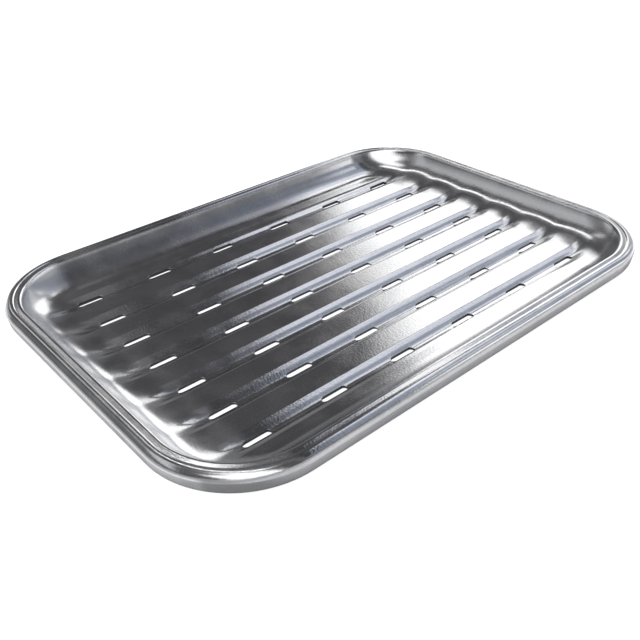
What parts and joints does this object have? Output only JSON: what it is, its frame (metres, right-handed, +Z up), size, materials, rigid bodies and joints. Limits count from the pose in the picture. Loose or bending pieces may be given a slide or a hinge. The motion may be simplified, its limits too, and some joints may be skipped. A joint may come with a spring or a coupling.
{
  "type": "grill tray",
  "caption": "Shallow rectangular stainless grill tray with rounded corners, long parallel grooves pierced by short slots, and a flat rim curled down and in.",
  "frame": {"origin": "centre of the outline, on the plane of the undersides of the groove floors, which the tray stands on", "axes": "+X along the grooves and the long side, +Y across them, +Z up out of the open top"},
  "size_m": [0.343, 0.244, 0.0182],
  "materials": {
    "sheet": "bright pressed stainless sheet with a fine satin grain, lightly mottled by pressing"
  },
  "bodies": {
    "root": {"tray": "sheet"}
  },
  "joints": []
}
